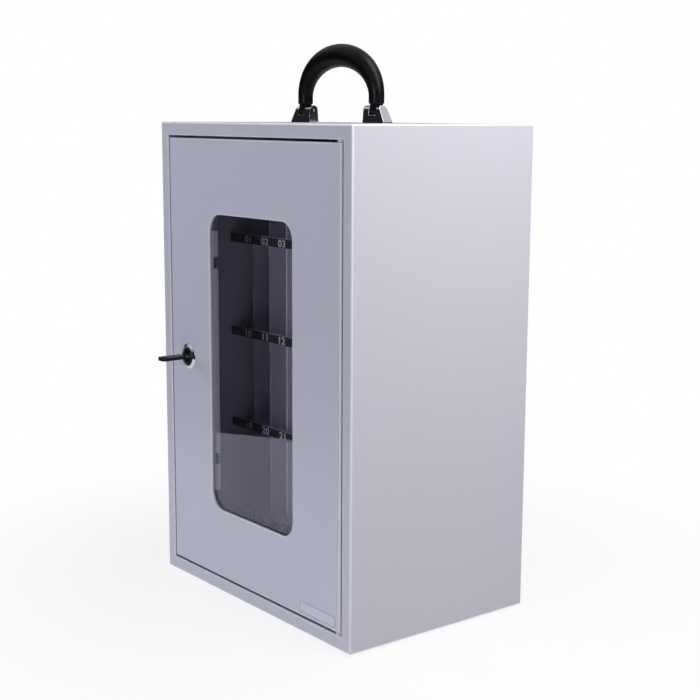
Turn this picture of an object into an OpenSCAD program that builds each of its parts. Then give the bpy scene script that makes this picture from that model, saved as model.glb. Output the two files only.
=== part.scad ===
// Cell phone locker box: a folded steel case with a glazed, key-locked door,
// a rack of numbered slots and a carrying handle that folds down.
// +X is to the right, the door faces -Y, +Z is up. The origin is the middle of the underside.

/* [Case] */
// Outside width of the case
body_w = 335; // [325:1:360]
// Outside height of the case
body_h = 500; // [490:1:560]
// Outside depth of the case
body_d = 230; // [215:1:260]
// Thickness of the steel sheet
sheet_t = 1; // [0.8:0.1:1.2]
// Outside radius of the folded edges
bend_r = 2; // [1.6:0.1:3]
// Width of the frame around the door opening
frame_w = 14; // [12:0.5:18]
// Outside radius of the fold around the door opening
frame_bend_r = 1.5; // [1.3:0.1:1.5]

/* [Door] */
// Gap all round between the door and its frame
door_gap = 2.4; // [1.8:0.1:2.8]
// Depth of the door's folded edges
door_d = 15; // [13:0.5:18]
// Space between the closed door and its stop
stop_gap = 0.5; // [0.4:0.1:1]
// How far the stop reaches behind the door
stop_reach = 7; // [5:0.5:9]
// Steel between the door's edge and the window, at the sides and the top
window_border = 77.4; // [70:0.2:84]
// Steel between the door's edge and the window, at the bottom
window_sill = 74.4; // [70:0.2:90]
// Radius of the window's corners
window_r = 18; // [10:1:24]
// Outside radius of the fold around the window
lip_r = 1.5; // [1.3:0.1:2]
// Depth of the fold around the window
lip_d = 3; // [2.5:0.1:4]
// Length of the blank plate on the door
plate_w = 57; // [40:1:70]
// Height of the blank plate on the door
plate_h = 10.5; // [8:0.5:14]
// Thickness of the blank plate on the door
plate_t = 0.5; // [0.4:0.1:1]
// Distance of the blank plate from the door's side edge
plate_inset = 6.7; // [5:0.1:12]
// Distance of the blank plate from the door's bottom edge
plate_rise = 4.7; // [4:0.1:12]

/* [Window pane] */
// Thickness of the clear pane
pane_t = 3; // [2:0.5:4]
// How far the pane reaches past the window's edge
pane_lap = 9; // [7:0.5:12]
// Height of a pane clip
clip_h = 11; // [9:0.5:14]
// Length of a pane clip, away from the window
clip_l = 23; // [21:0.5:26]
// Distance of a clip's tongue from the window's edge
clip_tip = 0.4; // [0.2:0.1:3]
// Thickness of a clip's tongue
clip_t = 3; // [2.5:0.1:4]
// Distance of the clips from the window's top and bottom edges
clip_inset = 52; // [40:1:80]
// Clearance around the pane's edge
pane_fit = 0.5; // [0.3:0.1:1]
// Depth of the folded rails behind the pane's upright edges
pane_rail_d = 6.5; // [5:0.5:8]
// Diameter of the clip studs
stud_d = 4; // [3:0.5:5]
// Width across the flats of the clip nuts
stud_nut_af = 7; // [6:0.5:8]
// Height of the clip nuts
stud_nut_h = 3; // [2:0.5:4]
// Length of a stud beyond its nut
stud_end = 1; // [0.5:0.5:2]

/* [Door hinge] */
// Distance of the hinge pins from the door's edge
hinge_inset = 4.8; // [4.6:0.1:6]
// Distance of the hinge pins behind the door's face
hinge_depth = 4; // [3.8:0.1:4.2]
// Diameter of the hinge pins
hinge_pin_d = 3; // [2.5:0.1:3.4]
// Length of a hinge pin below its head
hinge_pin_l = 9; // [7:0.5:12]
// Diameter of a hinge pin's head
hinge_head_d = 4.6; // [4:0.1:4.6]
// Thickness of a hinge pin's head
hinge_head_t = 1.5; // [1:0.1:2]
// Diameter of a hinge washer
hinge_washer_d = 7; // [6:0.1:7.4]
// Clearance between the door and a hinge washer
hinge_play = 0.3; // [0.2:0.05:0.5]
// Radial clearance of a pin that turns in a hole
running_fit = 0.06; // [0.03:0.01:0.1]

/* [Lock] */
// Distance of the lock from the door's edge
lock_inset = 35.1; // [30:0.1:40]
// Diameter of the lock's barrel
barrel_d = 19; // [16:0.5:20]
// Diameter of the ring around the lock
bezel_d = 27.5; // [25:0.5:30]
// Height of the ring around the lock
bezel_h = 3; // [2:0.1:4]
// Slope of the ring's outer edge
bezel_slope = 2; // [1:0.1:3]
// Thickness of the nut behind the door
lock_nut_t = 4; // [3:0.1:5]
// Width across the flats of the nut behind the door
lock_nut_af = 24; // [22:0.5:27]
// Diameter of the turning plug
plug_d = 12; // [11:0.1:13]
// Diameter of the plug's front collar
plug_collar_d = 15; // [14.5:0.1:15.5]
// Length of the plug's front collar
plug_collar_l = 2.5; // [2:0.1:3]
// Width of the square end that carries the cam
plug_square = 7; // [6:0.1:8]
// Clearance between the cam and what it passes behind
cam_gap = 0.8; // [0.5:0.1:1.5]
// Space between the cam and the barrel's end
cam_play = 0.4; // [0.3:0.1:0.5]
// Thickness of the cam
cam_t = 2; // [1.5:0.1:3]
// Width of the cam
cam_w = 16; // [13:0.5:18]
// How far the cam reaches behind the frame
cam_catch = 8; // [5:0.5:9]
// Diameter of the cam screw's head
cam_screw_head_d = 9; // [8:0.5:11]
// Thickness of the cam screw's head
cam_screw_head_t = 2.4; // [2:0.1:3]
// Diameter of the cam screw
cam_screw_d = 4; // [3:0.5:4]
// Length of the cam screw in the plug
cam_screw_l = 4.5; // [3:0.5:5]

/* [Key] */
// Width of the key's blade
blade_w = 7.6; // [6:0.1:8]
// Thickness of the key's blade
blade_t = 2; // [1.6:0.1:2.4]
// Length of the blade inside the plug
blade_l = 14; // [12:0.5:14.5]
// Clearance around the blade in its slot
key_fit = 0.2; // [0.15:0.05:0.3]
// Distance of the key's grip from the plug's face
bow_gap = 4; // [2:0.5:6]
// Length of the key's grip
bow_l = 29.5; // [24:0.5:34]
// Width of the key's grip
bow_w = 13; // [11:0.5:20]
// Thickness of the key's grip
bow_t = 3.6; // [3.2:0.1:5]
// Diameter of the hole in the key's grip
bow_hole_d = 4; // [3:0.5:5]

/* [Rack] */
// Number of slots side by side
slots_across = 9; // [7:1:10]
// Space between the outermost dividers and the wall of the case
rack_margin = 20.25; // [14:0.25:26]
// Space between the top row and the roof of the case
rack_headroom = 27; // [20:1:40]
// Height of the lowest tray above the underside
plinth_h = 46; // [40:1:50]
// Distance of the rack's side plates behind the front of the case
rack_depth = 73; // [60:1:80]
// Distance of the number strips behind the front of the case
strip_depth = 88; // [84:1:92]
// Height of a tray's front rail
rail_h = 11; // [8:0.5:14]
// Height of a tray's side flanges
tray_flange_h = 10; // [8:0.5:14]
// Clearance between the trays and the case
rack_fit = 0.3; // [0.2:0.05:0.5]
// Height of a number strip
strip_h = 10; // [8:0.5:12]
// Thickness of a number strip
strip_t = 0.8; // [0.5:0.1:1]
// Thickness of a divider
divider_t = 2; // [1.5:0.1:3]
// Distance of the dividers behind the number strips
divider_setback = 18; // [12:1:24]
// Space above the dividers
divider_top_gap = 1; // [0.5:0.1:3]
// Length of a divider's tab
tab_l = 12; // [8:0.5:16]
// Distance of the tabs from the divider's ends
tab_inset = 14; // [10:0.5:20]
// Clearance around a tab in its slot
tab_fit = 0.2; // [0.1:0.05:0.3]
// Diameter of the rivets that hold the trays
rivet_d = 3.2; // [3:0.1:4]
// Diameter of the rivets' heads
rivet_head_d = 6; // [5:0.1:7]
// Thickness of the rivets' heads
rivet_head_t = 1.2; // [1:0.1:2]
// Distance of the rivets from the tray's ends
rivet_inset = 20; // [15:1:30]

/* [Handle] */
// Distance between the middles of the handle's legs
handle_span = 119.8; // [110:0.2:130]
// Height of the handle's pins above the case
pivot_h = 13; // [12:0.1:14]
// Height of the handle's shoulders above its pins
shoulder_rise = 6; // [5.8:0.1:8]
// Height at which the handle's arch starts, above the case
spring_h = 27; // [24:0.5:32]
// Height of the middle of the grip at its highest, above the case
crown_h = 68.5; // [64:0.5:80]
// Thickness of a leg, seen from the front
leg_w = 16.4; // [13:0.1:18]
// Thickness of a leg, seen from the side
leg_d = 15.4; // [12:0.1:17]
// Thickness of the grip at its highest, seen from the front
grip_w = 23.6; // [20:0.1:26]
// Thickness of the grip at its highest, seen from the side
grip_d = 23; // [20:0.1:26]
// Width of the tongues at the ends of the legs
tongue_w = 10; // [8:0.1:12]
// Diameter of the tongues' round ends
tongue_d = 9; // [8:0.1:10]
// Diameter of the handle's pins
handle_pin_d = 3; // [2.5:0.1:4]

/* [Handle brackets] */
// Length of a bracket
bracket_l = 33; // [30:0.5:36]
// Depth of a bracket
bracket_d = 12; // [10:0.5:12.5]
// Diameter of the round tops of a bracket's ears
ear_d = 10; // [8:0.1:10.5]
// Clearance between a leg's tongue and the bracket, on each side
bracket_play = 0.5; // [0.4:0.1:1]
// How far a bracket's outer end slopes inwards
bracket_slope = 9; // [6:0.5:10]
// How much of a bracket lies outside the middle of the leg
bracket_outer = 18; // [16:0.5:20]
// Diameter of the bracket screws
screw_d = 4; // [3:0.5:5]
// Diameter of the bracket screws' heads
screw_head_d = 8; // [7:0.5:9]
// Thickness of the bracket screws' heads
screw_head_t = 2.6; // [2:0.1:3]
// Length of the bracket screws inside the bracket
screw_l = 5; // [4:0.5:6]
// Distance of the screws from the middle of the leg
screw_off = 11; // [10:0.1:11.5]

/* [Feet] */
// Diameter of the rubber feet
foot_d = 16; // [12:1:24]
// Height of the rubber feet
foot_h = 2.5; // [1.5:0.5:5]
// Distance of the feet from the outside of the case
foot_inset = 28; // [20:1:50]

/* [Hidden] */
$fn = 64;

// Overlap of a cut with the air beyond the piece
cut = 1;
front = -body_d / 2;
back = body_d / 2;
wall_x = body_w / 2 - sheet_t;

// Door opening, door and window
opening_w = body_w - 2 * frame_w;
opening_h = body_h - 2 * frame_w;
door_w = opening_w - 2 * door_gap;
door_h = opening_h - 2 * door_gap;
door_z = body_h / 2;
return_d = door_d + stop_gap;
stop_back = return_d + sheet_t;
window_w = door_w - 2 * window_border;
window_h = door_h - window_border - window_sill;
window_z = door_z + (window_sill - window_border) / 2;
lip_w = lip_r + sheet_t;
pane_back = lip_d + pane_t;
clip_depth = pane_back + sheet_t;

// Hinge axis
hinge_x = door_w / 2 - hinge_inset;
hinge_y = front + hinge_depth;
washer_t = door_gap - hinge_play;

// Lock
lock_x = -(door_w / 2 - lock_inset);
lock_z = door_z;
cam_front = stop_back + cam_gap;
barrel_end = cam_front - cam_play;
cam_l = lock_inset + door_gap + cam_catch;
blade_reach = blade_l + 1;

// Rack, in four rows of one tray each
rows = 4;
row_pitch = (body_h - sheet_t - rack_headroom - plinth_h) / rows;
slot_pitch = 2 * (wall_x - rack_margin) / slots_across;
side_x = wall_x - sheet_t;
tray_x = side_x - rack_fit;
tray_front = strip_depth + strip_t;
tray_back = body_d - sheet_t - rack_fit;
divider_front = strip_depth + divider_setback;
divider_back = tray_back - sheet_t - rack_fit;
divider_h = row_pitch - sheet_t - divider_top_gap;

// Handle
leg_x = handle_span / 2;
pivot_z = body_h + pivot_h;
ring_sides = 32;
arch_steps = 36;

function tray_z(row) = plinth_h + (rows - row) * row_pitch;

// A block between two opposite corners
module span(low, high) {
    translate(low) cube([high.x - low.x, high.y - low.y, high.z - low.z]);
}

// A flat rectangle with round corners, about the origin
module round_rect(w, h, r) {
    square([w - 2 * r, h], center = true);
    square([w, h - 2 * r], center = true);
    for (sx = [-1, 1], sy = [-1, 1])
        translate([sx * (w / 2 - r), sy * (h / 2 - r)]) circle(r);
}

// An upright plate with round corners, from one depth to another
module upright_plate(w, h, r, depth_0, depth_1) {
    translate([0, front + depth_1, 0])
        rotate([90, 0, 0]) linear_extrude(depth_1 - depth_0) round_rect(w, h, r);
}

// A block about the origin whose twelve edges are all rounded
module round_block(w, d, h, r) {
    intersection() {
        translate([0, 0, -h / 2]) linear_extrude(h) round_rect(w, d, r);
        translate([0, d / 2, 0]) rotate([90, 0, 0]) linear_extrude(d) round_rect(w, h, r);
        rotate([90, 0, 90]) translate([0, 0, -w / 2]) linear_extrude(w) round_rect(d, h, r);
    }
}

// The folded sheet around the whole case, from which the panels are taken
module case_sheet() {
    translate([0, 0, body_h / 2]) difference() {
        round_block(body_w, body_d, body_h, bend_r);
        round_block(
            body_w - 2 * sheet_t, body_d - 2 * sheet_t, body_h - 2 * sheet_t, bend_r - sheet_t);
    }
}

module side_panel(side) {
    seam = body_w / 2 - bend_r;
    color("lightgray") intersection() {
        case_sheet();
        translate([side * (seam + body_w / 2), 0, body_h / 2])
            cube([body_w, body_d + cut, body_h + cut], center = true);
    }
}

// Section of the top and bottom panels, with their folded front and back edges
module panel_strip(top) {
    seam = body_h / 2 - bend_r;
    length = body_w - 2 * bend_r;
    translate([0, 0, body_h / 2]) mirror([0, 0, top ? 0 : 1])
        rotate([90, 0, 90]) translate([0, 0, -length / 2]) linear_extrude(length) intersection() {
            difference() {
                round_rect(body_d, body_h, bend_r);
                round_rect(body_d - 2 * sheet_t, body_h - 2 * sheet_t, bend_r - sheet_t);
            }
            translate([0, seam + body_h / 2]) square([body_d + cut, body_h], center = true);
        }
}

module top_panel() {
    color("whitesmoke") difference() {
        panel_strip(true);
        for (x = screw_places())
            translate([x, 0, body_h - sheet_t - cut])
                cylinder(d = screw_d + 2 * running_fit, h = sheet_t + 2 * cut);
    }
}

module base_panel() {
    color("whitesmoke") panel_strip(false);
}

module back_panel() {
    color("lightgray") span(
        [-body_w / 2 + bend_r, back - sheet_t, bend_r],
        [body_w / 2 - bend_r, back, body_h - bend_r]);
}

// Section of a folded edge: flat part along x, return along y
module fold_section(r, flat_w, depth) {
    difference() {
        union() {
            intersection() {
                translate([r, r]) circle(r);
                square(r);
            }
            translate([r, 0]) square([flat_w - r, sheet_t]);
            translate([0, r]) square([sheet_t, depth - r]);
        }
        translate([r, r]) circle(r - sheet_t);
    }
}

// One mitred rail of the frame, below the middle of an opening
module frame_rail(length, height, flat_w) {
    intersection() {
        translate([-length / 2 - flat_w, front, -height / 2])
            rotate([0, 90, 0]) linear_extrude(length + 2 * flat_w)
                fold_section(frame_bend_r, flat_w, return_d);
        translate([0, front + return_d + cut, 0]) rotate([90, 0, 0]) linear_extrude(return_d + 2 * cut)
            polygon([
                [-length / 2, -height / 2], [length / 2, -height / 2],
                [length / 2 + flat_w, -height / 2 - flat_w],
                [-length / 2 - flat_w, -height / 2 - flat_w]]);
    }
}

// Cylinder along the hinge axis, for the holes in the frame and the door
module hinge_hole() {
    translate([hinge_x, hinge_y, -cut])
        cylinder(d = hinge_pin_d + 2 * running_fit, h = body_h + 2 * cut);
}

module front_frame() {
    flat_w = frame_w - bend_r;
    color("lightgray") difference() {
        translate([0, 0, door_z]) for (turn = [0, 180]) {
            rotate([0, turn, 0]) frame_rail(opening_w, opening_h, flat_w);
            rotate([0, turn + 90, 0]) frame_rail(opening_h, opening_w, flat_w);
        }
        hinge_hole();
    }
}

// Angle behind the frame, on the lock side, against which the door closes
module door_stop() {
    face = -opening_w / 2;
    low = door_z - door_h / 2;
    high = door_z + door_h / 2;
    color("lightgray") {
        span(
            [face - 2 * sheet_t, front + return_d, low],
            [face + stop_reach, front + stop_back, high]);
        span(
            [face - 2 * sheet_t, front + return_d - stop_reach, low],
            [face - sheet_t, front + return_d, high]);
    }
}

module rack_side(side) {
    x = side < 0 ? -wall_x : side_x;
    color([0.2, 0.2, 0.22]) difference() {
        span([x, front + rack_depth, bend_r], [x + sheet_t, back - bend_r, tray_z(1) + row_pitch]);
        rivet_holes(side);
    }
}

// Cylinders at the rivets of one side, for the holes in the plate and the trays
module rivet_holes(side) {
    for (row = [1 : rows], y = rivet_places())
        translate([side * side_x, y, rivet_z(row)])
            rotate([0, 90, 0]) cylinder(d = rivet_d, h = 4 * sheet_t, center = true);
}

function rivet_places() = [front + tray_front + rivet_inset, front + tray_back - rivet_inset];
function rivet_z(row) = tray_z(row) + sheet_t + (tray_flange_h - sheet_t) / 2;
function divider_places() = [for (i = [0 : slots_across]) (i - slots_across / 2) * slot_pitch];
function tab_places() = [divider_front + tab_inset, divider_back - tab_inset - tab_l];

// Tray of one row, behind its front rail
module tray(row) {
    z = tray_z(row);
    y_0 = front + tray_front + sheet_t;
    y_1 = front + tray_back;
    color([0.2, 0.2, 0.22]) difference() {
        union() {
            span([-tray_x, y_0, z], [tray_x, y_1, z + sheet_t]);
            span([-tray_x, y_1 - sheet_t, z], [tray_x, y_1, z + tray_flange_h]);
            for (side = [-1, 1])
                translate([side * (tray_x - sheet_t / 2), (y_0 + y_1) / 2, z + tray_flange_h / 2])
                    cube([sheet_t, y_1 - y_0, tray_flange_h], center = true);
        }
        for (side = [-1, 1]) rivet_holes(side);
        for (x = divider_places(), depth = tab_places())
            span(
                [x - divider_t / 2 - tab_fit, front + depth - tab_fit, z - cut],
                [x + divider_t / 2 + tab_fit, front + depth + tab_l + tab_fit, z + sheet_t + cut]);
    }
}

// Flat rails along the trays' front edges, which keep the phones in and carry the number strips
module tray_front_rails() {
    y = front + tray_front;
    color([0.2, 0.2, 0.22]) for (row = [1 : rows])
        span([-tray_x, y, tray_z(row)], [tray_x, y + sheet_t, tray_z(row) + rail_h]);
}

module dividers(row) {
    z = tray_z(row) + sheet_t;
    color([0.14, 0.14, 0.15]) for (x = divider_places()) {
        span(
            [x - divider_t / 2, front + divider_front, z],
            [x + divider_t / 2, front + divider_back, z + divider_h]);
        for (depth = tab_places())
            span(
                [x - divider_t / 2, front + depth, z - sheet_t],
                [x + divider_t / 2, front + depth + tab_l, z]);
    }
}

module number_strip(row) {
    z = tray_z(row) + (rail_h - strip_h) / 2;
    color([0.16, 0.16, 0.14]) span(
        [-tray_x, front + strip_depth, z],
        [tray_x, front + tray_front, z + strip_h]);
}

module tray_rivets() {
    color("silver") for (side = [-1, 1], row = [1 : rows], y = rivet_places())
        translate([side * wall_x, y, rivet_z(row)]) rotate([0, -side * 90, 0]) {
            cylinder(d = rivet_d, h = 2 * sheet_t + rack_fit);
            translate([0, 0, 2 * sheet_t + rack_fit]) cylinder(d = rivet_head_d, h = rivet_head_t);
        }
}

module rubber_feet() {
    x = body_w / 2 - foot_inset;
    y = body_d / 2 - foot_inset;
    color([0.1, 0.1, 0.1]) for (sx = [-1, 1], sy = [-1, 1])
        translate([sx * x, sy * y, -foot_h]) cylinder(d = foot_d, h = foot_h);
}

// Hinge pin with its head beyond the frame's return; side is 1 at the top, -1 at the bottom
module hinge_pin(side) {
    color("silver") translate([hinge_x, hinge_y, door_z]) mirror([0, 0, side < 0 ? 1 : 0]) {
        translate([0, 0, opening_h / 2 + sheet_t - hinge_pin_l])
            cylinder(d = hinge_pin_d, h = hinge_pin_l);
        translate([0, 0, opening_h / 2 + sheet_t]) cylinder(d = hinge_head_d, h = hinge_head_t);
    }
}

module hinge_washers() {
    color("ivory") for (side = [-1, 1])
        translate([hinge_x, hinge_y, door_z + side * (opening_h / 2 - washer_t / 2)]) difference() {
            cylinder(d = hinge_washer_d, h = washer_t, center = true);
            cylinder(d = hinge_pin_d + 2 * running_fit, h = washer_t + cut, center = true);
        }
}

// Hollow front of the door, before its window and holes are cut
module door_shell() {
    depth = 4 * door_d;
    intersection() {
        translate([0, front + depth / 2, door_z]) difference() {
            round_block(door_w, depth, door_h, bend_r);
            round_block(door_w - 2 * sheet_t, depth - 2 * sheet_t, door_h - 2 * sheet_t, bend_r - sheet_t);
        }
        translate([0, front, door_z]) cube([body_w, 2 * door_d, body_h], center = true);
    }
}

// Fold around one corner of the window
module lip_corner() {
    rotate([-90, 0, 0]) rotate_extrude(angle = 90) translate([window_r, 0])
        fold_section(lip_r, lip_w, lip_d);
}

// Fold around the window, about the middle of the opening
module window_lip() {
    straight_w = window_w - 2 * window_r;
    straight_h = window_h - 2 * window_r;
    for (turn = [0, 180]) rotate([0, turn, 0]) {
        translate([-straight_w / 2, front, -window_h / 2])
            rotate([0, 90, 0]) linear_extrude(straight_w) fold_section(lip_r, lip_w, lip_d);
        rotate([0, 90, 0]) translate([-straight_h / 2, front, -window_w / 2])
            rotate([0, 90, 0]) linear_extrude(straight_h) fold_section(lip_r, lip_w, lip_d);
        translate([straight_w / 2, front, -straight_h / 2]) lip_corner();
        translate([-straight_w / 2, front, -straight_h / 2]) rotate([0, 90, 0]) lip_corner();
    }
}

module door_panel() {
    color("lightgray") {
        difference() {
            door_shell();
            translate([0, 0, window_z])
                upright_plate(window_w + 2 * lip_w, window_h + 2 * lip_w, window_r + lip_w, -cut, door_d);
            on_lock(-cut) cylinder(d = barrel_d + 2 * running_fit, h = sheet_t + 2 * cut);
            hinge_hole();
        }
        translate([0, 0, window_z]) window_lip();
    }
}

module window_pane() {
    color([0.85, 0.9, 0.92, 0.35]) translate([0, 0, window_z])
        upright_plate(window_w + 2 * pane_lap, window_h + 2 * pane_lap, pane_lap, lip_d, pane_back);
}

// Folded rails behind the pane's upright edges, open where a clip's tongue reaches over them
module pane_rails() {
    half_h = window_h / 2 - window_r;
    rail_back = pane_back + pane_rail_d;
    reach = clip_h / 2 + pane_fit;
    color("lightgray") difference() {
        for (side = [-1, 1])
            translate([side * window_w / 2, front, window_z]) mirror([side < 0 ? 1 : 0, 0, 0]) {
                span([0, pane_back, -half_h], [pane_lap, clip_depth, half_h]);
                span([0, pane_back, -half_h], [sheet_t, rail_back, half_h]);
            }
        at_clips() span([-cut, clip_depth, -reach], [sheet_t + pane_fit, rail_back + cut, reach]);
    }
}

// Puts a piece at each of the four pane clips, turned so that x points away from the window
module at_clips() {
    for (side = [-1, 1], level = [-1, 1])
        translate([side * window_w / 2, front, window_z + level * (window_h / 2 - clip_inset)])
            mirror([side < 0 ? 1 : 0, 0, 0]) children();
}

// Middle of a clip's stud, away from the window's edge
function stud_x() = (pane_lap + pane_fit + clip_tip + clip_l) / 2;

module pane_clips() {
    foot = pane_lap + pane_fit;
    end = clip_tip + clip_l;
    color([0.08, 0.08, 0.09]) at_clips() difference() {
        union() {
            span([foot, sheet_t, -clip_h / 2], [end, clip_depth + clip_t, clip_h / 2]);
            span([clip_tip, clip_depth, -clip_h / 2], [foot, clip_depth + clip_t, clip_h / 2]);
        }
        translate([stud_x(), 0, 0]) rotate([-90, 0, 0])
            cylinder(d = stud_d + 2 * running_fit, h = clip_depth + clip_t + cut);
    }
}

module clip_studs() {
    color("silver") at_clips() translate([stud_x(), sheet_t, 0]) rotate([-90, 0, 0])
        cylinder(d = stud_d, h = pane_back + clip_t + stud_nut_h + stud_end);
}

module clip_nuts() {
    depth = clip_depth + clip_t;
    color("silver") at_clips() translate([stud_x(), depth, 0]) rotate([-90, 0, 0]) difference() {
        cylinder(d = stud_nut_af / cos(30), h = stud_nut_h, $fn = 6);
        translate([0, 0, -cut]) cylinder(d = stud_d + 2 * running_fit, h = stud_nut_h + 2 * cut);
    }
}

module blank_plate() {
    x = door_w / 2 - plate_inset;
    z = door_z - door_h / 2 + plate_rise;
    color("white") span([x - plate_w, front - plate_t, z], [x, front, z + plate_h]);
}

// Puts a piece on the lock's axis at a depth, with z pointing into the case
module on_lock(depth) {
    translate([lock_x, front + depth, lock_z]) rotate([-90, 0, 0]) children();
}

module lock_bezel() {
    color("silver") on_lock(-bezel_h) difference() {
        union() {
            cylinder(d1 = bezel_d - 2 * bezel_slope, d2 = bezel_d, h = bezel_h - 1);
            translate([0, 0, bezel_h - 1]) cylinder(d = bezel_d, h = 1);
        }
        translate([0, 0, -cut]) cylinder(d = barrel_d + 2 * running_fit, h = bezel_h + 2 * cut);
    }
}

module lock_housing() {
    length = bezel_h + barrel_end;
    color("silver") on_lock(-bezel_h) difference() {
        cylinder(d = barrel_d, h = length);
        translate([0, 0, -cut])
            cylinder(d = plug_collar_d + 2 * running_fit, h = plug_collar_l + cut + cam_play);
        cylinder(d = plug_d + 2 * running_fit, h = length + cut);
    }
}

module lock_nut() {
    color("silver") on_lock(sheet_t) difference() {
        cylinder(d = lock_nut_af / cos(30), h = lock_nut_t, $fn = 6);
        translate([0, 0, -cut]) cylinder(d = barrel_d + 2 * running_fit, h = lock_nut_t + 2 * cut);
    }
}

module lock_plug() {
    length = bezel_h + cam_front;
    color([0.25, 0.25, 0.27]) on_lock(-bezel_h) difference() {
        union() {
            cylinder(d = plug_collar_d, h = plug_collar_l);
            cylinder(d = plug_d, h = length);
            translate([0, 0, length + cam_t / 2]) cube([plug_square, plug_square, cam_t], center = true);
        }
        translate([0, 0, (blade_reach - cut) / 2])
            cube([blade_w + 2 * key_fit, blade_t + 2 * key_fit, blade_reach + cut], center = true);
        translate([0, 0, length + cam_t - cam_screw_l]) cylinder(d = cam_screw_d, h = cam_screw_l + cut);
    }
}

// Cam that hangs straight down while the lock is open
module lock_cam() {
    square_hole = plug_square + 2 * running_fit;
    color("silver") on_lock(cam_front) difference() {
        union() {
            cylinder(d = cam_w, h = cam_t);
            translate([-cam_w / 2, 0, 0]) cube([cam_w, cam_l - cam_w / 2, cam_t]);
            translate([0, cam_l - cam_w / 2, 0]) cylinder(d = cam_w, h = cam_t);
        }
        translate([0, 0, cam_t / 2]) cube([square_hole, square_hole, cam_t + cut], center = true);
    }
}

module cam_screw() {
    color("silver") on_lock(cam_front + cam_t) {
        cylinder(d = cam_screw_head_d, h = cam_screw_head_t);
        translate([0, 0, -cam_screw_l]) cylinder(d = cam_screw_d, h = cam_screw_l);
    }
}

module key_blade() {
    inside = bow_l / 3;
    length = blade_l + bow_gap + inside;
    color("silver") on_lock(blade_l - length / 2 - bezel_h)
        cube([blade_w, blade_t, length], center = true);
}

module key_bow() {
    corner = bow_w / 4;
    inside = bow_l / 3;
    color([0.06, 0.06, 0.08]) on_lock(-bezel_h - bow_gap) difference() {
        translate([0, bow_t / 2, -bow_l / 2]) rotate([90, 0, 0])
            linear_extrude(bow_t) round_rect(bow_w, bow_l, corner);
        translate([0, 0, (cut - inside) / 2]) cube([blade_w, blade_t, inside + cut], center = true);
        translate([0, 0, bow_hole_d - bow_l]) rotate([90, 0, 0])
            cylinder(d = bow_hole_d, h = bow_t + cut, center = true);
    }
}

function screw_places() = [for (side = [-1, 1], off = [-screw_off, screw_off]) side * leg_x + off];

// Outline of a bracket seen from the front, with x pointing to the outer end
module bracket_outline() {
    inner = bracket_l - bracket_outer;
    top = pivot_h + ear_d / 2;
    polygon([
        [-inner, 0], [bracket_outer, 0], [bracket_outer, screw_d / 2],
        [bracket_outer - bracket_slope, top], [-inner, top]]);
}

// Outline of a bracket's ears seen from the side
module ear_outline() {
    translate([0, pivot_h]) circle(d = ear_d);
    polygon([[-bracket_d / 2, 0], [bracket_d / 2, 0], [ear_d / 2, pivot_h], [-ear_d / 2, pivot_h]]);
}

module handle_bracket(side) {
    slot_w = tongue_w + 2 * bracket_play;
    floor_h = pivot_h - tongue_d / 2 - bracket_play;
    color("silver") translate([side * leg_x, 0, body_h]) mirror([side < 0 ? 1 : 0, 0, 0]) difference() {
        intersection() {
            translate([0, bracket_d, 0]) rotate([90, 0, 0])
                linear_extrude(2 * bracket_d) bracket_outline();
            translate([-bracket_l, 0, 0]) rotate([90, 0, 90])
                linear_extrude(2 * bracket_l) ear_outline();
        }
        translate([-slot_w / 2, -bracket_d, floor_h]) cube([slot_w, 2 * bracket_d, bracket_l]);
        translate([-bracket_l, 0, pivot_h]) rotate([0, 90, 0])
            cylinder(d = handle_pin_d, h = bracket_l + pin_reach());
        for (off = [-screw_off, screw_off])
            translate([off, 0, -cut]) cylinder(d = screw_d, h = screw_l + cut);
    }
}

// How far a handle pin reaches past the middle of the leg, into the outer ear
function pin_reach() = tongue_w / 2 + bracket_play + screw_d;

module bracket_screws() {
    color("silver") for (x = screw_places()) translate([x, 0, body_h - sheet_t]) {
        translate([0, 0, -screw_head_t]) cylinder(d = screw_head_d, h = screw_head_t);
        cylinder(d = screw_d, h = sheet_t + screw_l);
    }
}

module handle_pins() {
    inner = bracket_l - bracket_outer;
    color("silver") for (side = [-1, 1])
        translate([side * leg_x, 0, pivot_z]) mirror([side < 0 ? 1 : 0, 0, 0])
            translate([-inner, 0, 0]) rotate([0, 90, 0])
                cylinder(d = handle_pin_d, h = inner + pin_reach());
}

// Middle line of the grip: up one leg, over the arch and down the other leg
function arch_angle(i) = 180 - 180 * i / arch_steps;
function arch_path() = concat(
    [[-leg_x, pivot_z + shoulder_rise]],
    [for (i = [0 : arch_steps])
        [leg_x * cos(arch_angle(i)), body_h + spring_h + (crown_h - spring_h) * sin(arch_angle(i))]],
    [[leg_x, pivot_z + shoulder_rise]]);

// Direction across the middle line, pointing out of the arch
function arch_normal(i) =
    i == 0 ? [-1, 0] :
    i > arch_steps + 1 ? [1, 0] :
    let (a = arch_angle(i - 1), n = [(crown_h - spring_h) * cos(a), leg_x * sin(a)]) n / norm(n);

// Share of the grip's swelling at a point of the middle line
function swell(p) = pow(max(0, (p.y - body_h - spring_h) / (crown_h - spring_h)), 1.5);

function grip_ring(p, n) = [
    for (k = [0 : ring_sides - 1])
        let (
            a = 360 * k / ring_sides,
            w = (leg_w + (grip_w - leg_w) * swell(p)) / 2,
            d = (leg_d + (grip_d - leg_d) * swell(p)) / 2)
        [p.x + n.x * w * cos(a), d * sin(a), p.y + n.y * w * cos(a)]];

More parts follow.
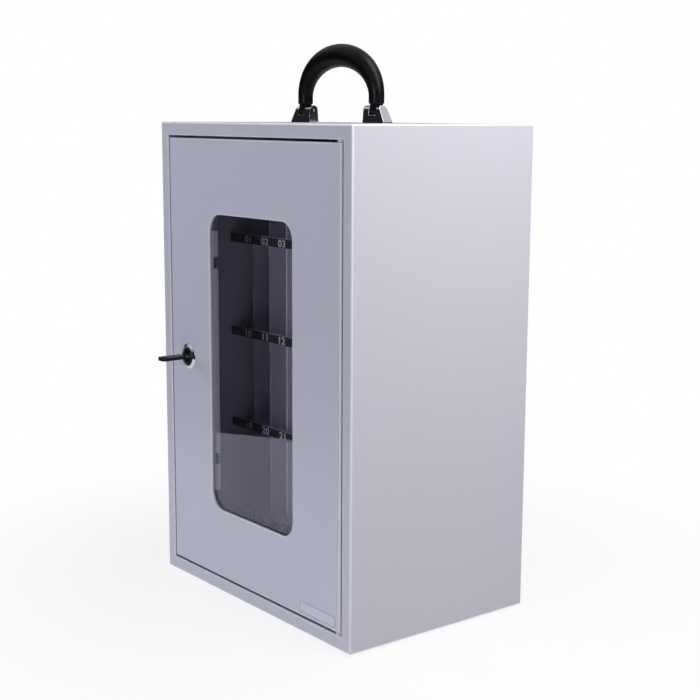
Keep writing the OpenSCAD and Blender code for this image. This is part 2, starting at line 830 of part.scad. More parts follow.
module grip_arch() {
    path = arch_path();
    rings = len(path);
    points = [for (i = [0 : rings - 1]) each grip_ring(path[i], arch_normal(i))];
    sides = [
        for (i = [0 : rings - 2], k = [0 : ring_sides - 1])
            let (a = i * ring_sides + k, b = i * ring_sides + (k + 1) % ring_sides)
            [a, b, b + ring_sides, a + ring_sides]];
    start_cap = [for (k = [ring_sides - 1 : -1 : 0]) k];
    end_cap = [for (k = [0 : ring_sides - 1]) (rings - 1) * ring_sides + k];
    polyhedron(points, concat(sides, [start_cap], [end_cap]), convexity = 4);
}

module handle_grip() {
    color([0.16, 0.16, 0.17]) {
        grip_arch();
        for (side = [-1, 1]) translate([side * leg_x, 0, pivot_z]) difference() {
            union() {
                rotate([0, 90, 0]) cylinder(d = tongue_d, h = tongue_w, center = true);
                translate([-tongue_w / 2, -tongue_d / 2, 0])
                    cube([tongue_w, tongue_d, shoulder_rise + cut]);
            }
            rotate([0, 90, 0])
                cylinder(d = handle_pin_d + 2 * running_fit, h = tongue_w + cut, center = true);
        }
    }
}

side_panel(-1);  // left_side
side_panel(1);  // right_side
top_panel();
base_panel();
back_panel();
front_frame();
door_stop();
rack_side(-1);  // rack_side_left
rack_side(1);  // rack_side_right
tray(1);  // tray_1
tray(2);  // tray_2
tray(3);  // tray_3
tray(4);  // tray_4
tray_front_rails();
dividers(1);  // dividers_row_1
dividers(2);  // dividers_row_2
dividers(3);  // dividers_row_3
dividers(4);  // dividers_row_4
number_strip(1);  // number_strip_1
number_strip(2);  // number_strip_2
number_strip(3);  // number_strip_3
number_strip(4);  // number_strip_4
tray_rivets();
rubber_feet();
hinge_pin(1);  // hinge_pin_upper
hinge_pin(-1);  // hinge_pin_lower
hinge_washers();
handle_bracket(-1);  // handle_bracket_left
handle_bracket(1);  // handle_bracket_right
bracket_screws();
handle_pins();
handle_grip();
door_panel();
window_pane();
pane_rails();
pane_clips();
clip_studs();
clip_nuts();
blank_plate();
lock_bezel();
lock_housing();
lock_nut();
lock_plug();
lock_cam();
cam_screw();
key_blade();
key_bow();
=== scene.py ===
import math
import bmesh
import bpy
from mathutils import Matrix, Vector


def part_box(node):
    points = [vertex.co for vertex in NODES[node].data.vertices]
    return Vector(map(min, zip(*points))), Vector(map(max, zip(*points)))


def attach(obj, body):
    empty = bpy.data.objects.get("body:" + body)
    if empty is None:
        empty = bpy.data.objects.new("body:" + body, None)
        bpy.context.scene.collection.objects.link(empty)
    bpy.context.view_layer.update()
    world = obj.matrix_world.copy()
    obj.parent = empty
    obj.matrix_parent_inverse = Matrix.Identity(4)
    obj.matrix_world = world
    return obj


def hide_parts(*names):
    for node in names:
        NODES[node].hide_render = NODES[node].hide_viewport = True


# The phone locker box: its finishes, its detailed fittings, the lamps and the camera.
# Lengths are in metres. X runs to the right, Y to the back and Z up.

MM = 0.001
ROWS = 4
SLOTS_ACROSS = 9

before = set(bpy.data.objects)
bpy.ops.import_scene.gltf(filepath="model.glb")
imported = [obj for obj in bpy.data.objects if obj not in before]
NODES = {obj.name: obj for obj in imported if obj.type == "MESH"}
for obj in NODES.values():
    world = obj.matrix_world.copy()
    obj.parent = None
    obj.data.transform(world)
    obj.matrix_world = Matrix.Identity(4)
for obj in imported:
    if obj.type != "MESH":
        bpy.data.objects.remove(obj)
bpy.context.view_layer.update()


# Steps of a material


def maths(nodes, operation):
    """A step of arithmetic on two values."""
    step = nodes.new("ShaderNodeMath")
    step.operation = operation
    return step


def value_range(nodes, start, end, low, high):
    """Turns a value that runs from start to end into one that runs from low to high."""
    step = nodes.new("ShaderNodeMapRange")
    step.inputs["From Min"].default_value = start
    step.inputs["From Max"].default_value = end
    step.inputs["To Min"].default_value = low
    step.inputs["To Max"].default_value = high
    return step


def colour_blend(nodes, first, second):
    """A mix of two colours by a factor."""
    step = nodes.new("ShaderNodeMix")
    step.data_type = "RGBA"
    step.inputs["A"].default_value = first
    step.inputs["B"].default_value = second
    return step


# Finishes

# Most of a noise lies between these values.
NOISE_LOW = 0.3
NOISE_HIGH = 0.7


def tone(red, green, blue):
    """A colour as it looks on a screen, from 0 to 255, made linear."""
    screen = [v / 255 for v in (red, green, blue)]
    return tuple(((v + 0.055) / 1.055) ** 2.4 if v > 0.04 else v / 12.92 for v in screen) + (1.0,)


def scaled(colour, share):
    """A colour made darker or lighter, up to white."""
    return tuple(min(1.0, v * share) for v in colour[:3]) + (1.0,)


def plain_finish(name, colour, roughness, metallic=0.0):
    """A material with one principled shader, and that shader."""
    material = bpy.data.materials.new(name)
    material.use_nodes = True
    shader = material.node_tree.nodes["Principled BSDF"]
    shader.inputs["Base Color"].default_value = colour
    shader.inputs["Roughness"].default_value = roughness
    shader.inputs["Metallic"].default_value = metallic
    return material, shader


def waves(material, per_metre, detail=2.0, stretch=(1, 1, 1)):
    """A noise on the piece's own coordinates, with so many waves to the metre."""
    nodes, links = material.node_tree.nodes, material.node_tree.links
    place = nodes.new("ShaderNodeTexCoord")
    scale = nodes.new("ShaderNodeMapping")
    noise = nodes.new("ShaderNodeTexNoise")
    scale.inputs["Scale"].default_value = stretch
    noise.inputs["Scale"].default_value = per_metre
    noise.inputs["Detail"].default_value = detail
    links.new(place.outputs["Object"], scale.inputs["Vector"])
    links.new(scale.outputs["Vector"], noise.inputs["Vector"])
    return noise.outputs["Fac"]


def mottle(material, shader, colour, noise, amount):
    """Lets the colour drift a little, lighter and darker."""
    nodes, links = material.node_tree.nodes, material.node_tree.links
    blend = colour_blend(nodes, scaled(colour, 1 - amount), scaled(colour, 1 + amount))
    links.new(noise, blend.inputs["Factor"])
    links.new(blend.outputs["Result"], shader.inputs["Base Color"])


def vary_gloss(material, shader, noise, low, high):
    """Lets the roughness drift between two values."""
    nodes, links = material.node_tree.nodes, material.node_tree.links
    spread = value_range(nodes, NOISE_LOW, NOISE_HIGH, low, high)
    links.new(noise, spread.inputs["Value"])
    links.new(spread.outputs["Result"], shader.inputs["Roughness"])


def relief(material, shader, noise, strength, depth):
    """Raises the surface by up to a depth in metres."""
    nodes, links = material.node_tree.nodes, material.node_tree.links
    bump = nodes.new("ShaderNodeBump")
    bump.inputs["Strength"].default_value = strength
    bump.inputs["Distance"].default_value = depth
    links.new(noise, bump.inputs["Height"])
    links.new(bump.outputs["Normal"], shader.inputs["Normal"])


def powder_coat(name, colour, roughness):
    """Baked powder paint: a fine orange peel, slightly uneven in gloss."""
    material, shader = plain_finish(name, colour, roughness)
    drift = waves(material, per_metre=9, detail=3)
    gloss = waves(material, per_metre=60, detail=3)
    peel = waves(material, per_metre=750)
    mottle(material, shader, colour, drift, amount=0.015)
    vary_gloss(material, shader, gloss, low=roughness - 0.04, high=roughness + 0.05)
    relief(material, shader, peel, strength=0.12, depth=0.05 * MM)
    shader.inputs["Coat Weight"].default_value = 0.35
    shader.inputs["Coat Roughness"].default_value = 0.18
    return material


def moulded_plastic(name, colour, roughness, grain=0.1, shine=0.5):
    """Plastic or rubber with the fine grain of its mould."""
    material, shader = plain_finish(name, colour, roughness)
    shader.inputs["Specular IOR Level"].default_value = shine
    drift = waves(material, per_metre=40, detail=3)
    gloss = waves(material, per_metre=90, detail=3)
    mould = waves(material, per_metre=1600)
    mottle(material, shader, colour, drift, amount=0.06)
    vary_gloss(material, shader, gloss, low=roughness - 0.05, high=roughness + 0.06)
    relief(material, shader, mould, strength=grain, depth=0.03 * MM)
    return material


def plated_steel(name, colour, roughness):
    """Zinc or nickel plate over turned and stamped steel."""
    material, shader = plain_finish(name, colour, roughness, metallic=1.0)
    drift = waves(material, per_metre=130, detail=3)
    gloss = waves(material, per_metre=300, detail=4)
    scratches = waves(material, per_metre=900, detail=3, stretch=(1, 1, 6))
    mottle(material, shader, colour, drift, amount=0.05)
    vary_gloss(material, shader, gloss, low=roughness - 0.06, high=roughness + 0.1)
    relief(material, shader, scratches, strength=0.1, depth=0.02 * MM)
    return material


def bright_chrome(name, colour):
    """Polished plate, with the faint ripple of a cast part under it."""
    material, shader = plain_finish(name, colour, roughness=0.07, metallic=1.0)
    drift = waves(material, per_metre=200)
    gloss = waves(material, per_metre=150, detail=3)
    ripple = waves(material, per_metre=160)
    mottle(material, shader, colour, drift, amount=0.02)
    vary_gloss(material, shader, gloss, low=0.04, high=0.12)
    relief(material, shader, ripple, strength=0.15, depth=0.06 * MM)
    return material


def clear_acrylic(name, tint):
    """Clear sheet. Rays from the lamps pass straight through, so that what is behind it stays lit."""
    material, shader = plain_finish(name, tint, roughness=0.01)
    shader.inputs["IOR"].default_value = 1.45
    shader.inputs["Transmission Weight"].default_value = 1.0
    gloss = waves(material, per_metre=25)
    vary_gloss(material, shader, gloss, low=0.0, high=0.02)
    nodes, links = material.node_tree.nodes, material.node_tree.links
    path = nodes.new("ShaderNodeLightPath")
    either = maths(nodes, "MAXIMUM")
    through = nodes.new("ShaderNodeBsdfTransparent")
    through.inputs["Color"].default_value = tint
    mix = nodes.new("ShaderNodeMixShader")
    links.new(path.outputs["Is Shadow Ray"], either.inputs[0])
    links.new(path.outputs["Is Diffuse Ray"], either.inputs[1])
    links.new(either.outputs["Value"], mix.inputs["Fac"])
    links.new(shader.outputs["BSDF"], mix.inputs[1])
    links.new(through.outputs["BSDF"], mix.inputs[2])
    links.new(mix.outputs["Shader"], nodes["Material Output"].inputs["Surface"])
    return material


CASE_PAINT = powder_coat("case_powder_coat", tone(214, 213, 223), 0.42)
# Lighter paint for the folded edges: a painted highlight along every fold.
FOLD_HIGHLIGHT_PAINT = powder_coat("fold_painted_highlight_coat", tone(245, 244, 250), 0.3)
# Darker paint for the faces that look across the door's gap: painted shade in the gap.
GAP_SHADE_PAINT = powder_coat("gap_painted_shade_coat", tone(160, 159, 167), 0.6)
RACK_PAINT = powder_coat("rack_powder_coat", tone(226, 223, 233), 0.5)
DIVIDER = powder_coat("divider_sheet", tone(231, 227, 238), 0.5)
STRIP = moulded_plastic("number_strip_plastic", tone(52, 52, 50), 0.45)
PRINT = moulded_plastic("number_print", tone(232, 233, 236), 0.5)
GRIP = moulded_plastic("grip_plastic", tone(12, 12, 13), 0.3, grain=0.02, shine=0.1)
KEY_PLASTIC = moulded_plastic("key_plastic", tone(20, 20, 23), 0.35, shine=0.35)
CLIP = moulded_plastic("clip_plastic", tone(34, 34, 36), 0.4)
RUBBER = moulded_plastic("foot_rubber", tone(32, 32, 32), 0.75, grain=0.3)
NYLON = moulded_plastic("washer_nylon", tone(226, 224, 214), 0.4)
PLATE = moulded_plastic("blank_plate_plastic", tone(226, 225, 236), 0.5, grain=0.04)
PLATE_LINE = moulded_plastic("plate_line_print", tone(150, 148, 166), 0.5, grain=0.04)
ZINC = plated_steel("zinc_plate", tone(186, 186, 188), 0.3)
NICKEL = plated_steel("dark_nickel", tone(84, 84, 88), 0.2)
CHROME = bright_chrome("chrome_plate", tone(222, 223, 226))
ACRYLIC = clear_acrylic("clear_acrylic", tone(246, 245, 250))


# Shaping of meshes

# Points closer than this are one point.
WELD = 0.001 * MM
# Faces that differ by less than this many degrees are one flat face.
SAME_FACE = 0.5


def add_piece(name, bm, body, materials, replaced, smooth=35):
    """Makes an object of a finished mesh, on its body, in place of the nodes it stands for.

    Edges of more than the smooth angle, in degrees, stay sharp.
    """
    mesh = bpy.data.meshes.new(name)
    bm.to_mesh(mesh)
    bm.free()
    for material in materials:
        mesh.materials.append(material)
    mesh.shade_smooth()
    mesh.set_sharp_from_angle(angle=math.radians(smooth))
    piece = bpy.data.objects.new(name, mesh)
    bpy.context.scene.collection.objects.link(piece)
    shading = piece.modifiers.new("shading", "WEIGHTED_NORMAL")
    shading.keep_sharp = True
    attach(piece, body)
    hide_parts(*replaced)


def merged_copy(node):
    """A CAD node's mesh, welded and with its flat faces made whole."""
    bm = bmesh.new()
    bm.from_mesh(NODES[node].data)
    bmesh.ops.remove_doubles(bm, verts=bm.verts, dist=WELD)
    bmesh.ops.dissolve_limit(
        bm, angle_limit=math.radians(SAME_FACE), verts=bm.verts, edges=bm.edges)
    return bm


def soften(bm, width, segments=2, sharp=30):
    """Rounds the edges of more than the sharp angle, in degrees."""
    edges = [
        e for e in bm.edges
        if len(e.link_faces) == 2 and e.calc_face_angle() > math.radians(sharp)]
    bmesh.ops.bevel(
        bm, geom=edges, offset=width, segments=segments, profile=0.5,
        affect="EDGES", material=-1, clamp_overlap=True)


def softened_piece(node, body, material, width, segments=2):
    """The piece of one CAD node, with its edges rounded by a width."""
    bm = merged_copy(node)
    soften(bm, width, segments)
    bmesh.ops.recalc_face_normals(bm, faces=bm.faces)
    add_piece(node + "_finished", bm, body, [material], [node])


def zinc_fitting(node, body, width, segments=2):
    """A softened piece of zinc-plated steel."""
    softened_piece(node, body, ZINC, width, segments)


def block(bm, low, high):
    """A box between two corners, added to the mesh."""
    size = Vector(high) - Vector(low)
    middle = (Vector(low) + Vector(high)) / 2
    place = Matrix.Translation(middle) @ Matrix.Diagonal((*size, 1.0))
    return bmesh.ops.create_cube(bm, size=1.0, matrix=place)["verts"]


def turned(bm, outline, centre, sides=96):
    """Spins an outline of (radius, depth) points about an axis along Y through a centre."""
    points = [bm.verts.new((centre.x + r, centre.y + depth, centre.z)) for r, depth in outline]
    edges = [bm.edges.new(pair) for pair in zip(points, points[1:])]
    bmesh.ops.spin(
        bm, geom=points + edges, cent=centre, axis=(0, 1, 0), dvec=(0, 0, 0),
        angle=2 * math.pi, steps=sides, use_merge=True)
    bmesh.ops.remove_doubles(bm, verts=bm.verts, dist=2 * WELD)


def arc(centre, radius, start, end, steps=4):
    """Points of (radius, depth) along a round edge, with its angles in degrees."""
    angles = [math.radians(start + (end - start) * i / steps) for i in range(steps + 1)]
    return [(centre[0] + radius * math.cos(a), centre[1] + radius * math.sin(a)) for a in angles]


# Case and door, with a painted highlight along the folds and painted shade in the door's gap

# A face is flat, and no part of a fold, if its normal lies this close to an axis.
FLAT = 0.995
FOLDED = {
    "left_side": "cabinet", "right_side": "cabinet", "top_panel": "cabinet",
    "base_panel": "cabinet", "front_frame": "cabinet",
    "door_panel": "door", "pane_rails": "door"}
PLAIN = ["back_panel", "door_stop"]
RACK = ["rack_side_left", "rack_side_right", "tray_front_rails"] + [
    f"tray_{row}" for row in range(1, ROWS + 1)]
DIVIDERS = [f"dividers_row_{row}" for row in range(1, ROWS + 1)]


def beside_gap(face):
    """Whether a face looks across the narrow gap between the door and its frame."""
    low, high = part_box("door_panel")
    middle = face.calc_center_median()
    inwards, outwards = 0.3 * MM, 3 * MM
    across = (abs(face.normal.x), abs(face.normal.z))
    beyond = (max(low.x - middle.x, middle.x - high.x), max(low.z - middle.z, middle.z - high.z))
    return any(a > FLAT and -inwards < b < outwards for a, b in zip(across, beyond))


def folded_panel(node, body):
    """A panel's mesh made whole, with a painted highlight on its folds and painted shade on its faces
    in the door's gap.
    """
    bm = merged_copy(node)
    for face in bm.faces:
        # Faces of the folds take the painted highlight.
        if max(abs(v) for v in face.normal) < FLAT:
            face.material_index = 1
        # Faces across the door's gap take the painted shade.
        elif node in ("front_frame", "door_panel") and beside_gap(face):
            face.material_index = 2
    paints = [CASE_PAINT, FOLD_HIGHLIGHT_PAINT, GAP_SHADE_PAINT]
    add_piece(node + "_painted", bm, body, paints, [node])


def paint(names, material):
    """Gives CAD nodes their finish."""
    for name in names:
        slots = NODES[name].data.materials
        slots.clear()
        slots.append(material)


for node, body in FOLDED.items():
    folded_panel(node, body)
paint(PLAIN, CASE_PAINT)
paint(RACK, RACK_PAINT)
paint(DIVIDERS, DIVIDER)


# Number strips

FIGURE_HEIGHT = 7.8 * MM
FIGURE_WIDENING = 1.35
# How much the strokes of the figures gain in width, as a share of the letter height
FIGURE_WEIGHT = 0.018
FIGURE_THICKNESS = 0.12 * MM
FIGURE_SINK = 0.01 * MM
DIVIDER_THICKNESS = 2 * MM


def numeral(text):
    """Raised figures in the XZ plane, about their middle."""
    curve = bpy.data.curves.new("numeral", "FONT")
    curve.body = text
    curve.extrude = FIGURE_THICKNESS / 2
    curve.offset = FIGURE_WEIGHT
    writing = bpy.data.objects.new("numeral", curve)
    bpy.context.scene.collection.objects.link(writing)
    graph = bpy.context.evaluated_depsgraph_get()
    mesh = bpy.data.meshes.new_from_object(writing.evaluated_get(graph))
    bpy.data.objects.remove(writing)
    bpy.data.curves.remove(curve)
    corners = [v.co for v in mesh.vertices]
    low = Vector(map(min, *corners))
    high = Vector(map(max, *corners))
    share = FIGURE_HEIGHT / (high.y - low.y)
    middle = (low + high) / 2
    size = Matrix.Diagonal((share * FIGURE_WIDENING, share, 1.0, 1.0))
    flat = size @ Matrix.Translation(-middle)
    mesh.transform(Matrix.Rotation(math.radians(90), 4, "X") @ flat)
    return mesh


def number_strip(row):
    """A dark strip with a number over each slot of its row."""
    node = f"number_strip_{row}"
    low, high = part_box(node)
    bm = bmesh.new()
    face = low.y + FIGURE_THICKNESS
    block(bm, (low.x, face, low.z), high)
    soften(bm, 0.15 * MM)
    dividers_low, dividers_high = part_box(f"dividers_row_{row}")
    pitch = (dividers_high.x - dividers_low.x - DIVIDER_THICKNESS) / SLOTS_ACROSS
    figure_y = face - FIGURE_THICKNESS / 2 + FIGURE_SINK
    for column in range(SLOTS_ACROSS):
        number = (row - 1) * SLOTS_ACROSS + column + 1
        mesh = numeral(f"{number:02d}")
        x = (column - (SLOTS_ACROSS - 1) / 2) * pitch
        mesh.transform(Matrix.Translation((x, figure_y, (low.z + high.z) / 2)))
        for polygon in mesh.polygons:
            polygon.material_index = 1
        bm.from_mesh(mesh)
        bpy.data.meshes.remove(mesh)
    add_piece(f"numbers_row_{row}", bm, "cabinet", [STRIP, PRINT], [node])


for row in range(1, ROWS + 1):
    number_strip(row)


# Handle

# From the middle of the grip to the middle of a leg
LEG_X = 59.9 * MM
# Height of a leg's shoulder above its pin, and of the arch's start above the case
SHOULDER_RISE = 6 * MM
SPRING_RISE = 27 * MM
# Half the thickness of a leg from the front and from the side, and of the crown from the front
LEG_HALVES = (8.2 * MM, 7.7 * MM)
CROWN_HALF = 11.8 * MM
# How late the grip swells on its way up from a leg to the crown
SWELL_POWER = 1.5
# Rings down a leg, as shares of its length and of its thickness
LEG_RINGS = [(0.45, 1.0), (0.8, 1.0), (0.93, 0.95), (1.0, 0.86)]
ARCH_STEPS = 56
GRIP_SIDES = 48


def handle_grip():
    """The moulded grip: an arch that swells towards its crown, on two short legs."""
    low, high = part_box("handle_grip")
    pin_low, pin_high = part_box("handle_pins")
    pivot_z = (pin_low.z + pin_high.z) / 2
    shoulder_z = pivot_z + SHOULDER_RISE
    spring_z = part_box("top_panel")[1].z + SPRING_RISE
    crown_halves = (CROWN_HALF, (high.y - low.y) / 2)
    rise = high.z - CROWN_HALF - spring_z

    def station(t):
        """Middle, outward direction and half sizes at a share of the arch."""
        angle = math.pi * (1 - t)
        middle = Vector((LEG_X * math.cos(angle), 0, spring_z + rise * math.sin(angle)))
        outward = Vector((rise * math.cos(angle), 0, LEG_X * math.sin(angle))).normalized()
        swell = math.sin(angle) ** SWELL_POWER
        halves = [leg + (crown - leg) * swell for leg, crown in zip(LEG_HALVES, crown_halves)]
        return middle, outward, halves

    def lowered(end, drop, share):
        """An end of the arch, moved down its leg and made thinner."""
        middle, outward, halves = end
        down = Vector((0, 0, (spring_z - shoulder_z) * drop))
        return middle - down, outward, [half * share for half in halves]

    arch = [station(i / ARCH_STEPS) for i in range(ARCH_STEPS + 1)]
    left_leg = [lowered(arch[0], drop, share) for drop, share in reversed(LEG_RINGS)]
    right_leg = [lowered(arch[-1], drop, share) for drop, share in LEG_RINGS]
    bm = bmesh.new()
    rings = []
    for middle, outward, halves in left_leg + arch + right_leg:
        along = outward.cross(Vector((0, 1, 0)))
        turn = Matrix((outward, (0, 1, 0), along)).transposed().to_4x4()
        place = Matrix.Translation(middle) @ turn @ Matrix.Diagonal((*halves, 1, 1))
        circle = bmesh.ops.create_circle(
            bm, cap_ends=False, segments=GRIP_SIDES, radius=1.0, matrix=place)
        rings.append(list(dict.fromkeys(e for v in circle["verts"] for e in v.link_edges)))
    for near, far in zip(rings, rings[1:]):
        bmesh.ops.bridge_loops(bm, edges=near + far)
    bmesh.ops.holes_fill(bm, edges=rings[0] + rings[-1], sides=0)
    bmesh.ops.recalc_face_normals(bm, faces=bm.faces)
    for side in (-1, 1):
        tongue(bm, side * LEG_X, pivot_z, shoulder_z)
    add_piece("grip_moulding", bm, "handle", [GRIP], ["handle_grip"])


def tongue(bm, x, pivot_z, shoulder_z):
    """Flat end of a leg between the bracket's ears, round about the pin."""
    half_width, radius = 5 * MM, 4.5 * MM
    reach_into_leg = 2 * MM
    end = bmesh.new()
    turn = Matrix.Translation((x, 0, pivot_z)) @ Matrix.Rotation(math.radians(90), 4, "Y")
    bmesh.ops.create_cone(
        end, cap_ends=True, cap_tris=False, segments=40, radius1=radius, radius2=radius,
        depth=2 * half_width, matrix=turn)
    for v in end.verts:
        if v.co.z > pivot_z + WELD:
            v.co.z = shoulder_z + reach_into_leg
            if abs(v.co.y) > radius / 2:
                v.co.y = math.copysign(radius, v.co.y)
    soften(end, 0.6 * MM, sharp=40)
    bmesh.ops.recalc_face_normals(end, faces=end.faces)
    mesh = bpy.data.meshes.new("tongue")
    end.to_mesh(mesh)
    end.free()
    bm.from_mesh(mesh)
    bpy.data.meshes.remove(mesh)


handle_grip()
for side in ("left", "right"):
    softened_piece(f"handle_bracket_{side}", "cabinet", CHROME, 0.7 * MM, segments=3)
zinc_fitting("handle_pins", "cabinet", 0.3 * MM)
zinc_fitting("bracket_screws", "cabinet", 0.4 * MM)


# Lock and key


def lock_bezel():
    """A ring with a flat face and a wide slope around it, tilted by so many degrees."""
    low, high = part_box("lock_bezel")
    centre = Vector(((low.x + high.x) / 2, low.y, (low.z + high.z) / 2))
    clearance = 0.06 * MM
    flat_width = 1.2 * MM
    edge = 0.4 * MM
    tilt = 30
    outer = (high.x - low.x) / 2
    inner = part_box("lock_housing")[1].x - centre.x + clearance
    depth = high.y - low.y
    slope_start = inner + flat_width
    slope_end = outer - edge + edge * math.sin(math.radians(tilt))
    slope_drop = (slope_end - slope_start) * math.tan(math.radians(tilt))
    rim = slope_drop + edge * math.cos(math.radians(tilt))
    bm = bmesh.new()
    outline = [(inner, depth), (inner, edge)]
    outline += arc((inner + edge, edge), edge, 180, 270)
    outline += [(slope_start, 0)]
    outline += arc((outer - edge, rim), edge, 270 + tilt, 360)
    outline += [(outer, depth), (inner, depth)]
    turned(bm, outline, centre)
    bmesh.ops.recalc_face_normals(bm, faces=bm.faces)
    add_piece("lock_ring", bm, "door", [CHROME], ["lock_bezel"], smooth=25)


lock_bezel()
softened_piece("lock_housing", "door", NICKEL, 0.25 * MM)
zinc_fitting("lock_nut", "door", 0.4 * MM)
softened_piece("lock_plug", "lock", NICKEL, 0.25 * MM)
zinc_fitting("lock_cam", "lock", 0.3 * MM)
zinc_fitting("cam_screw", "lock", 0.4 * MM)
softened_piece("key_bow", "key", KEY_PLASTIC, 0.7 * MM, segments=3)
zinc_fitting("key_blade", "key", 0.2 * MM)


# Small fittings


def blank_plate():
    """The small plate, with a line printed round its face."""
    line_width = 0.7 * MM
    bm = merged_copy("blank_plate")
    face = min(bm.faces, key=lambda f: f.calc_center_median().y)
    border = bmesh.ops.inset_region(bm, faces=[face], thickness=line_width)["faces"]
    for side in border:
        side.material_index = 1
    bmesh.ops.recalc_face_normals(bm, faces=bm.faces)
    add_piece("plate_finished", bm, "door", [PLATE, PLATE_LINE], ["blank_plate"])


blank_plate()
softened_piece("window_pane", "door", ACRYLIC, 0.3 * MM)
softened_piece("pane_clips", "door", CLIP, 0.5 * MM, segments=3)
zinc_fitting("clip_studs", "door", 0.3 * MM)
zinc_fitting("clip_nuts", "door", 0.35 * MM)
zinc_fitting("tray_rivets", "cabinet", 0.5 * MM, segments=3)
softened_piece("rubber_feet", "cabinet", RUBBER, 0.6 * MM, segments=3)
zinc_fitting("hinge_pin_upper", "cabinet", 0.3 * MM)
zinc_fitting("hinge_pin_lower", "cabinet", 0.3 * MM)
softened_piece("hinge_washers", "cabinet", NYLON, 0.2 * MM)


# Floor, surroundings and lamps

WHITE = (1, 1, 1, 1)
# Colour and strength of the dim studio, and of the wall and ceiling that bright surfaces see
STUDIO_TINT = (0.93, 0.94, 1.0, 1.0)
STUDIO_DIM = 0.05
STUDIO_WALL = 0.02
STUDIO_CEILING = 0.7
# Where the wall starts to turn into the ceiling and where it has, from 0, level, to 1, overhead
CEILING_START = 0.15
CEILING_FULL = 0.55
# Colours of the floor where it is seen, where it only catches light, and in reflections
FLOOR_SEEN = (0.9, 0.9, 0.91, 1)
FLOOR_UNSEEN = (0.35, 0.35, 0.36, 1)
FLOOR_REFLECTED = (0.76, 0.77, 0.95, 1)
# Share of the floor's own glow where it isn't seen, and where it is, near the box and far off
FLOOR_GLOW = 0.24
FLOOR_GLOW_NEAR = 0.85
FLOOR_GLOW_FAR = 1.0
# Distances from the middle of the box that are near and far off
FLOOR_NEAR = 0.25
FLOOR_FAR = 0.6
# Where the floor ends in front of the box, and its turn
FLOOR_REACH = 0.789
FLOOR_TURN = math.radians(-30)


def floor_paint():
    """White wherever it is looked at, with some of the box's shadow, and dimmer to other light."""
    material = bpy.data.materials.new("white_floor")
    material.use_nodes = True
    nodes, links = material.node_tree.nodes, material.node_tree.links
    shader = nodes["Principled BSDF"]
    shader.inputs["Roughness"].default_value = 0.9
    glow = nodes.new("ShaderNodeEmission")
    glow.inputs["Strength"].default_value = 1.0
    path = nodes.new("ShaderNodeLightPath")
    mirrored = maths(nodes, "MAXIMUM")
    seen = maths(nodes, "MAXIMUM")
    pale = colour_blend(nodes, FLOOR_UNSEEN, FLOOR_SEEN)
    reflected = maths(nodes, "MINIMUM")
    reflected.inputs[1].default_value = 1.0
    tint = colour_blend(nodes, WHITE, FLOOR_REFLECTED)
    place = nodes.new("ShaderNodeTexCoord")
    away = nodes.new("ShaderNodeVectorMath")
    away.operation = "LENGTH"
    fade = value_range(nodes, FLOOR_NEAR, FLOOR_FAR, FLOOR_GLOW_NEAR, FLOOR_GLOW_FAR)
    share = nodes.new("ShaderNodeMix")
    share.inputs["A"].default_value = FLOOR_GLOW
    mix = nodes.new("ShaderNodeMixShader")
    links.new(path.outputs["Is Glossy Ray"], mirrored.inputs[0])
    links.new(path.outputs["Is Transmission Ray"], mirrored.inputs[1])
    links.new(path.outputs["Is Camera Ray"], seen.inputs[0])
    links.new(mirrored.outputs["Value"], seen.inputs[1])
    links.new(seen.outputs["Value"], pale.inputs["Factor"])
    links.new(pale.outputs["Result"], shader.inputs["Base Color"])
    links.new(path.outputs["Glossy Depth"], reflected.inputs[0])
    links.new(reflected.outputs["Value"], tint.inputs["Factor"])
    links.new(tint.outputs["Result"], glow.inputs["Color"])
    links.new(place.outputs["Object"], away.inputs[0])
    links.new(away.outputs["Value"], fade.inputs["Value"])
    links.new(seen.outputs["Value"], share.inputs["Factor"])
    links.new(fade.outputs["Result"], share.inputs["B"])
    links.new(share.outputs["Result"], mix.inputs["Fac"])
    links.new(shader.outputs["BSDF"], mix.inputs[1])
    links.new(glow.outputs["Emission"], mix.inputs[2])
    links.new(mix.outputs["Shader"], nodes["Material Output"].inputs["Surface"])
    return material


def white_floor():
    """A floor under the box that ends a little way in front of it."""
    floor_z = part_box("rubber_feet")[0].z
    half_width, back, thickness = 3, 4, 0.01
    bm = bmesh.new()
    turn = Matrix.Rotation(FLOOR_TURN, 4, "Z")
    front_corner = (-half_width, -FLOOR_REACH, floor_z - thickness)
    for v in block(bm, front_corner, (half_width, back, floor_z)):
        v.co = turn @ v.co
    mesh = bpy.data.meshes.new("floor")
    bm.to_mesh(mesh)
    bm.free()
    mesh.materials.append(floor_paint())
    floor = bpy.data.objects.new("floor", mesh)
    bpy.context.scene.collection.objects.link(floor)


def lamp(name, place, aim, size, power, colour=(1, 1, 1), mirrored=True):
    """A softbox of a width and a length, facing a point, seen in bright surfaces or not."""
    light = bpy.data.lights.new(name, "AREA")
    light.shape = "RECTANGLE"
    light.size, light.size_y = size
    light.energy = power
    light.color = colour
    holder = bpy.data.objects.new(name, light)
    holder.visible_glossy = mirrored
    holder.visible_transmission = mirrored
    holder.location = place
    holder.rotation_euler = (Vector(aim) - Vector(place)).to_track_quat("-Z", "Y").to_euler()
    bpy.context.scene.collection.objects.link(holder)


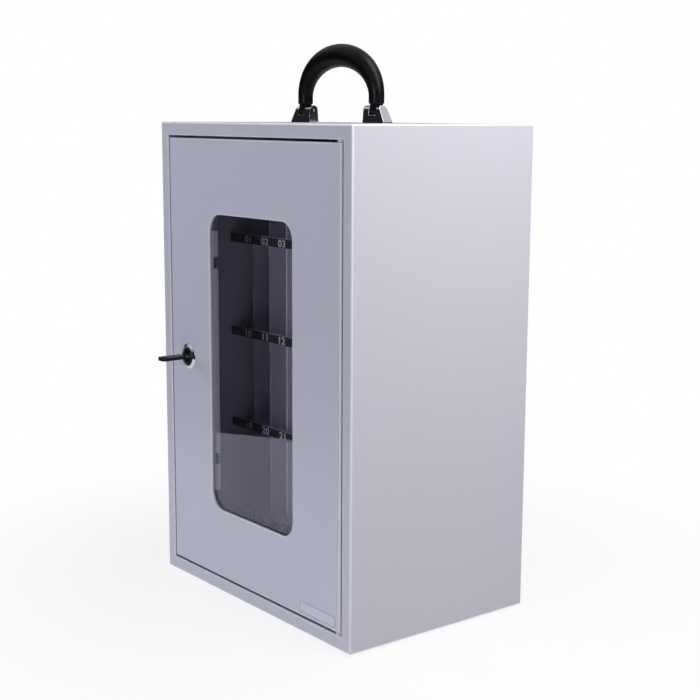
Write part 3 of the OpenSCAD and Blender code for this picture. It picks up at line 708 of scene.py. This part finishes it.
def surroundings():
    """White to the camera and through the pane. To all else a dim studio.

    Bright surfaces also see a pale ceiling in it.
    """
    world = bpy.data.worlds.new("studio")
    world.use_nodes = True
    bpy.context.scene.world = world
    nodes, links = world.node_tree.nodes, world.node_tree.links
    direction = nodes.new("ShaderNodeTexCoord")
    parts = nodes.new("ShaderNodeSeparateXYZ")
    rise = value_range(nodes, CEILING_START, CEILING_FULL, STUDIO_WALL, STUDIO_CEILING)
    rise.interpolation_type = "SMOOTHSTEP"
    strength = nodes.new("ShaderNodeMix")
    strength.inputs["A"].default_value = STUDIO_DIM
    dim = nodes["Background"]
    dim.inputs["Color"].default_value = STUDIO_TINT
    white = nodes.new("ShaderNodeBackground")
    white.inputs["Color"].default_value = WHITE
    white.inputs["Strength"].default_value = 1.0
    path = nodes.new("ShaderNodeLightPath")
    through = maths(nodes, "SUBTRACT")
    through.use_clamp = True
    seen = maths(nodes, "MAXIMUM")
    mix = nodes.new("ShaderNodeMixShader")
    links.new(direction.outputs["Generated"], parts.inputs["Vector"])
    links.new(parts.outputs["Z"], rise.inputs["Value"])
    links.new(path.outputs["Is Glossy Ray"], strength.inputs["Factor"])
    links.new(rise.outputs["Result"], strength.inputs["B"])
    links.new(strength.outputs["Result"], dim.inputs["Strength"])
    links.new(path.outputs["Is Transmission Ray"], through.inputs[0])
    links.new(path.outputs["Glossy Depth"], through.inputs[1])
    links.new(path.outputs["Is Camera Ray"], seen.inputs[0])
    links.new(through.outputs["Value"], seen.inputs[1])
    links.new(seen.outputs["Value"], mix.inputs["Fac"])
    links.new(dim.outputs["Background"], mix.inputs[1])
    links.new(white.outputs["Background"], mix.inputs[2])
    links.new(mix.outputs["Shader"], nodes["World Output"].inputs["Surface"])


white_floor()
surroundings()
lamp("side_softbox", place=(0.55, 0.1, 1), aim=(0.15, 0.1, 0.3), size=(0.5, 1.2), power=10.3)
lamp(
    "front_softbox", place=(0.55, -2.0, 0.62), aim=(0, 0, 0.25), size=(0.7, 0.7), power=13.4,
    colour=(0.88, 0.88, 1))
lamp(
    "left_softbox", place=(-1.1, -0.75, 0.6), aim=(-0.1, 0, 0.3), size=(0.6, 0.6), power=5,
    colour=(0.84, 0.9, 1), mirrored=False)
lamp(
    "back_softbox", place=(-0.8, 1.7, 0.2), aim=(0, 0.1, 0.2), size=(1.2, 0.4), power=8,
    colour=(0.9, 0.92, 1), mirrored=False)


# Camera, at the photo's viewing angle

CAMERA_PLACE = (1.12361, -0.86901, 0.50752)
CAMERA_LENS = 69.385
CAMERA_AZIMUTH = math.radians(51.805)
CAMERA_PITCH = math.radians(9.856)
CAMERA_ROLL = math.radians(0.291)


def camera():
    """The scene's camera, turned from the front to the right, a little down and a little askew."""
    view = bpy.data.cameras.new("camera")
    view.lens = CAMERA_LENS
    view.clip_end = 50
    holder = bpy.data.objects.new("camera", view)
    holder.location = CAMERA_PLACE
    ahead = Vector((
        -math.sin(CAMERA_AZIMUTH) * math.cos(CAMERA_PITCH),
        math.cos(CAMERA_AZIMUTH) * math.cos(CAMERA_PITCH),
        -math.sin(CAMERA_PITCH)))
    level = ahead.to_track_quat("-Z", "Y").to_matrix()
    holder.rotation_euler = (level @ Matrix.Rotation(CAMERA_ROLL, 3, "Z")).to_euler()
    bpy.context.scene.collection.objects.link(holder)
    bpy.context.scene.camera = holder


camera()
bpy.context.scene.view_settings.view_transform = "Standard"
